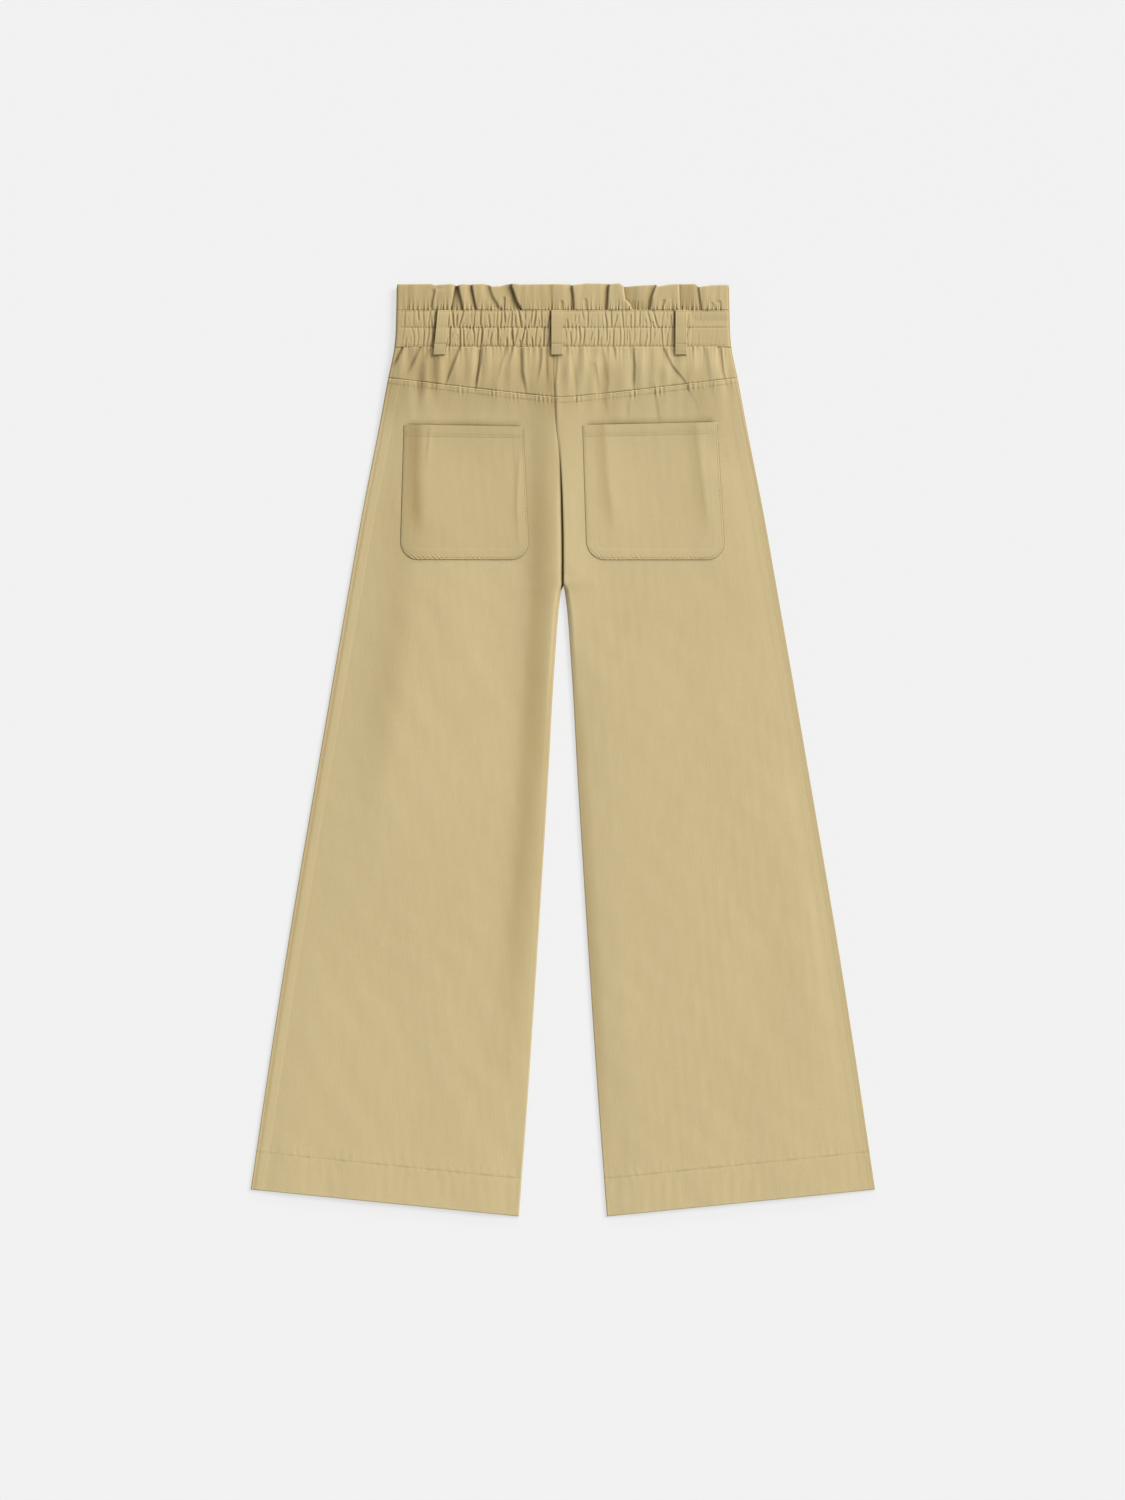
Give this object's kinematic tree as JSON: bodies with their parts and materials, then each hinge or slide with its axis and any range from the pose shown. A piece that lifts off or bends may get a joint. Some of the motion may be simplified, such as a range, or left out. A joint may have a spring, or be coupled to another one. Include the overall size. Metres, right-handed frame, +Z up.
{
  "type": "paperbag waist trousers",
  "caption": "Wide-leg trousers with a gathered paperbag waist, patch pockets and belt loops, laid flat with the back uppermost.",
  "frame": {"origin": "on the surface that the trousers lie on, under the middle of their outline", "axes": "+Z up, away from the surface, so the back of the garment faces +Z; +Y towards the waist; +X towards the wearer's right leg"},
  "size_m": [0.6708, 1.002, 0.0121],
  "materials": {
    "twill": "matte",
    "thread": "satin"
  },
  "bodies": {
    "root": {"front_leg_left": "twill", "front_leg_right": "twill", "back_leg_left": "twill", "back_leg_right": "twill", "back_yoke_left": "twill", "back_yoke_right": "twill", "waistband_back": "twill", "waistband_front": "twill", "frill_back": "twill", "frill_front": "twill", "pocket_left": "twill", "pocket_right": "twill", "belt_loop_left": "twill", "belt_loop_centre": "twill", "belt_loop_right": "twill"}
  },
  "joints": []
}
